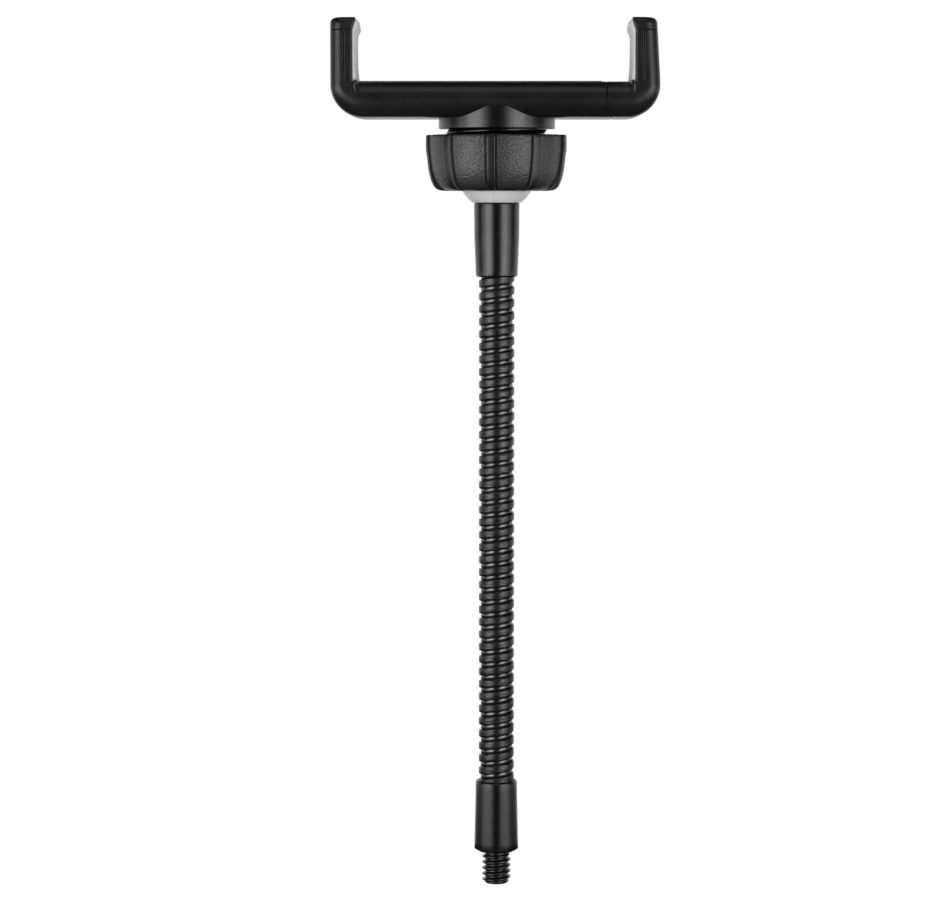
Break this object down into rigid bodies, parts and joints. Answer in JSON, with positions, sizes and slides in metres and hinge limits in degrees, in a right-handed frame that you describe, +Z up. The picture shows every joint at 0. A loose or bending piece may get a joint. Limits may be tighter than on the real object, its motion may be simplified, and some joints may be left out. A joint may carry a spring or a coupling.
{
  "type": "phone clamp holder",
  "caption": "Spring clamp for a phone on a lockable ball joint and a bendable gooseneck arm, with a threaded stud below.",
  "frame": {"origin": "on the stud's axis at its shoulder, the underside of the lower ferrule", "axes": "+Z up the arm from the stud to the clamp, +X the way the sliding jaw opens"},
  "size_m": [0.0697, 0.03, 0.1875],
  "materials": {
    "black_plastic": "fine matt grain",
    "gloss_black": "gloss",
    "black_steel": "black coated",
    "steel": "bright drawn",
    "grey_plastic": "satin",
    "grey_silicone": "matt soft"
  },
  "bodies": {
    "base": {"threaded_stud": "black_steel", "lower_ferrule": "gloss_black"},
    "neck": {"gooseneck_coil": "steel", "gooseneck_wrap": "black_steel"},
    "stem": {"upper_ferrule": "gloss_black"},
    "ball": {"ball": "grey_plastic"},
    "ring": {"friction_ring": "grey_plastic"},
    "head": {"socket": "gloss_black", "socket_screws": "steel", "clamp_body": "black_plastic", "face_plate": "black_plastic", "face_plate_screws": "black_steel", "fixed_jaw_insert": "black_plastic", "fixed_jaw_pad": "grey_silicone", "spring_front": "steel", "spring_rear": "steel", "spring_pins": "steel", "stop_pin": "steel"},
    "knob": {"knob": "black_plastic"},
    "jaw": {"sliding_jaw": "black_plastic", "sliding_jaw_insert": "black_plastic", "sliding_jaw_pad": "grey_silicone"}
  },
  "joints": [
    {"name": "neck_bend_low", "type": "hinge", "parent": "base", "child": "neck", "pos_m": [0, 0, 0.04315], "axis": [0, 1, 0], "range_deg": [-60, 60], "deforming": ["gooseneck_coil", "gooseneck_wrap"]},
    {"name": "neck_bend_high", "type": "hinge", "parent": "neck", "child": "stem", "pos_m": [0, 0, 0.09805], "axis": [1, 0, 0], "range_deg": [-60, 60], "deforming": ["gooseneck_coil", "gooseneck_wrap"]},
    {"name": "ball_pan", "type": "hinge", "parent": "stem", "child": "ball", "pos_m": [0, 0, 0.1481], "axis": [0, 0, 1], "continuous": true},
    {"name": "ball_tilt", "type": "hinge", "parent": "ball", "child": "ring", "pos_m": [0, 0, 0.1481], "axis": [1, 0, 0], "range_deg": [-25, 25]},
    {"name": "ball_roll", "type": "hinge", "parent": "ring", "child": "head", "pos_m": [0, 0, 0.1481], "axis": [0, 0, 1], "continuous": true},
    {"name": "knob_turn", "type": "hinge", "parent": "head", "child": "knob", "pos_m": [0, 0, 0.1481], "axis": [0, 0, 1], "range_deg": [-180, 0]},
    {"name": "jaw_slide", "type": "slide", "parent": "head", "child": "jaw", "axis": [1, 0, 0], "range_m": [0, 0.025], "stiffness_N_per_m": 250, "springref_m": -0.012, "deforming": ["spring_front", "spring_rear"]}
  ]
}
